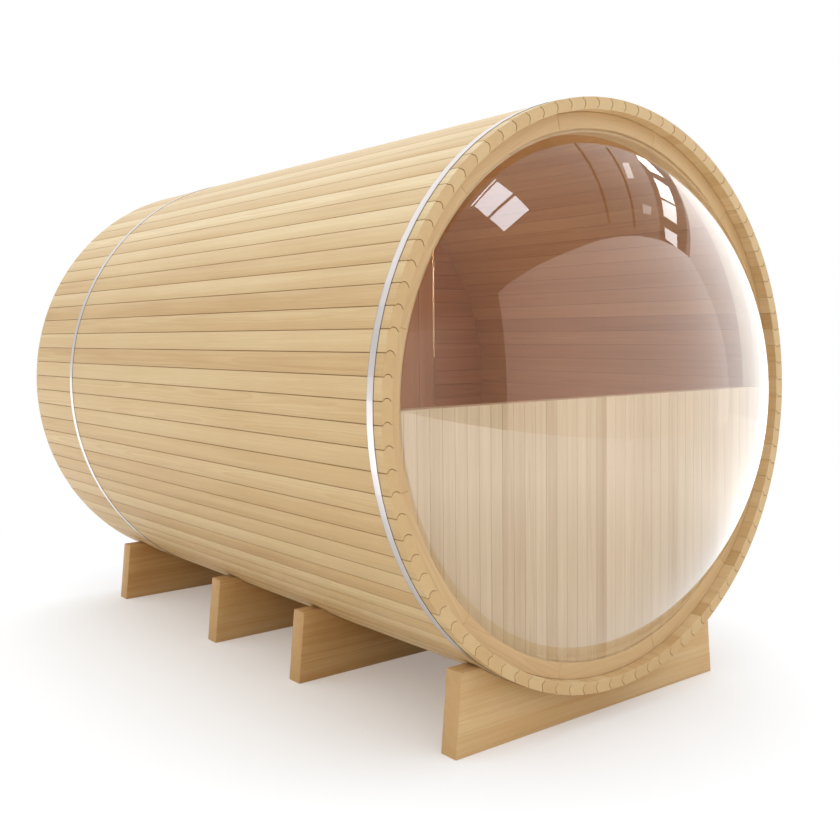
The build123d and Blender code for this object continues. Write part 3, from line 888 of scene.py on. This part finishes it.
def build_light():
    lamp("room_lamp", "POINT", (0.0, -0.2, 1.3), (0.0, 0.5, 1.3), 5.6, (1.0, 0.95, 0.88), shadow_soft_size=0.25)
    sill = WALL_FRONT + 0.03
    lamp("sill_lamp", "AREA", (0.0, sill, AXIS_Z + 0.01), (0.0, sill, 3.0), 0.35, (1.0, 0.98, 0.96),
         shape="RECTANGLE", size=1.6, size_y=0.05, spread=math.radians(60))

    # A line of light on the bevel of the upright, fainter towards the floor
    edge_lamps = ((1.55, 1.75, 0.016), (1.40, 1.55, 0.006), (1.20, 1.40, 0.0045))
    beside, before = 0.68, 0.462
    for number, (low, high, energy) in enumerate(edge_lamps):
        middle = (low + high) / 2
        lamp(f"edge_lamp_{number}", "AREA", (beside, before, middle), (0.6, before, middle), energy,
             (1.0, 0.97, 0.8), shape="RECTANGLE", size=0.010, size_y=high - low, spread=math.radians(12))

    world = bpy.data.worlds.new("world")
    bpy.context.scene.world = world
    world.use_nodes = True
    tree = world.node_tree
    tree.nodes.clear()

    def node(kind, inputs=None, **settings):
        made = tree.nodes.new(kind)
        for key, value in settings.items():
            setattr(made, key, value)
        for key, value in (inputs or {}).items():
            if isinstance(value, bpy.types.NodeSocket):
                tree.links.new(value, made.inputs[key])
            else:
                made.inputs[key].default_value = value
        return made.outputs[0]

    path = tree.nodes.new("ShaderNodeLightPath").outputs
    coords = tree.nodes.new("ShaderNodeTexCoord")
    parts = tree.nodes.new("ShaderNodeSeparateXYZ")
    tree.links.new(coords.outputs["Generated"], parts.inputs[0])
    # Mirrored rays see a roof that is dim before the dome end, and a pale room elsewhere
    high = node("ShaderNodeMapRange", {"Value": parts.outputs["Z"], "From Min": 0.3, "From Max": 0.5})
    along = parts.outputs["Y"]
    roof = node("ShaderNodeMapRange", {"Value": along, "From Min": -0.65, "From Max": 0.35, "To Min": 0.42})
    inputs = {"Value": along, "From Min": -0.78, "From Max": -0.62, "To Min": 0.42, "To Max": 0.95}
    low = node("ShaderNodeMapRange", inputs)
    mirrored = node("ShaderNodeMix", {"Factor": high, "A": low, "B": roof})
    rear = node("ShaderNodeMapRange", {"Value": along, "From Min": 0.5, "From Max": 0.7, "To Max": 0.6})
    mirrored = node("ShaderNodeMath", {0: high, 1: rear, 2: mirrored}, operation="MULTIPLY_ADD")
    # The light itself comes more from above, and from there a little cooler
    up = node("ShaderNodeMapRange", {"Value": parts.outputs["Z"]})
    lit = node("ShaderNodeMapRange", {"Value": parts.outputs["Z"], "To Min": 0.48, "To Max": 1.85})
    tint = tree.nodes.new("ShaderNodeMix")
    tint.data_type = "RGBA"
    tree.links.new(up, tint.inputs[0])
    tint.inputs[6].default_value = (1.0, 0.98, 0.94, 1.0)
    tint.inputs[7].default_value = (0.95, 1.0, 1.08, 1.0)
    inputs = {0: path["Is Camera Ray"], 1: path["Is Transmission Ray"]}
    plain = node("ShaderNodeMath", inputs, operation="MAXIMUM")
    level = node("ShaderNodeMix", {"Factor": path["Is Glossy Ray"], "A": lit, "B": mirrored})
    level = node("ShaderNodeMix", {"Factor": plain, "A": level, "B": 1.0})
    white = tree.nodes.new("ShaderNodeMix")
    white.data_type = "RGBA"
    untinted = node("ShaderNodeMath", {0: plain, 1: path["Is Glossy Ray"]}, operation="MAXIMUM")
    tree.links.new(untinted, white.inputs[0])
    tree.links.new(tint.outputs[2], white.inputs[6])
    white.inputs[7].default_value = (1.0, 1.0, 1.0, 1.0)
    sky = node("ShaderNodeBackground", {"Color": white.outputs[2], "Strength": level})
    tree.links.new(sky, tree.nodes.new("ShaderNodeOutputWorld").inputs["Surface"])


def build_floor():
    """A pale floor that keeps the shadows near the sauna and runs out to plain white."""
    mesh = bpy.data.meshes.new("floor")
    reach = 60.0
    corners = [(-reach, -reach, 0), (reach, -reach, 0), (reach, reach, 0), (-reach, reach, 0)]
    mesh.from_pydata(corners, [], [(0, 1, 2, 3)])
    floor = bpy.data.objects.new("floor", mesh)
    bpy.context.scene.collection.objects.link(floor)
    s = Shader("floor_white")
    place = s.add("ShaderNodeNewGeometry").outputs["Position"]
    spread = s.scaled(place, (0.8, 0.62, 0.0))
    distance = s.add("ShaderNodeVectorMath", {0: spread}, operation="LENGTH").outputs["Value"]
    inputs = {"Value": distance, "From Min": 1.1, "From Max": 2.3}
    far = s.add("ShaderNodeMapRange", inputs, interpolation_type="SMOOTHSTEP").outputs["Result"]
    path = s.add("ShaderNodeLightPath").outputs
    seen = s.math("MAXIMUM", path["Is Camera Ray"], path["Is Transmission Ray"])
    seen = s.math("MAXIMUM", seen, path["Is Glossy Ray"])
    colour = s.mix(seen, (0.73, 0.64, 0.52, 1.0), (0.66, 0.70, 0.715, 1.0))
    matt = s.add("ShaderNodeBsdfDiffuse", {"Color": colour}).outputs[0]
    inputs = {"Color": (1.0, 0.85, 0.76, 1.0), "Strength": s.math("MULTIPLY", seen, 0.27)}
    veil = s.add("ShaderNodeEmission", inputs).outputs[0]
    near = s.add("ShaderNodeAddShader", {0: matt, 1: veil}).outputs[0]
    shine = s.math("MULTIPLY_ADD", path["Is Glossy Ray"], 1.0, 1.0)
    white = s.add("ShaderNodeEmission", {"Color": (1, 1, 1, 1), "Strength": shine}).outputs[0]
    mixed = s.add("ShaderNodeMixShader", {0: s.math("MULTIPLY", far, seen), 1: near, 2: white})
    mesh.materials.append(s.finish(mixed.outputs[0]))


build_staves()
build_bands()
build_cradles()
build_front_wall()
build_dome()
build_cross_wall()
build_floors()
build_door()
build_camera()
build_hall()
build_light()
build_floor()
bpy.context.scene.view_settings.view_transform = "Standard"
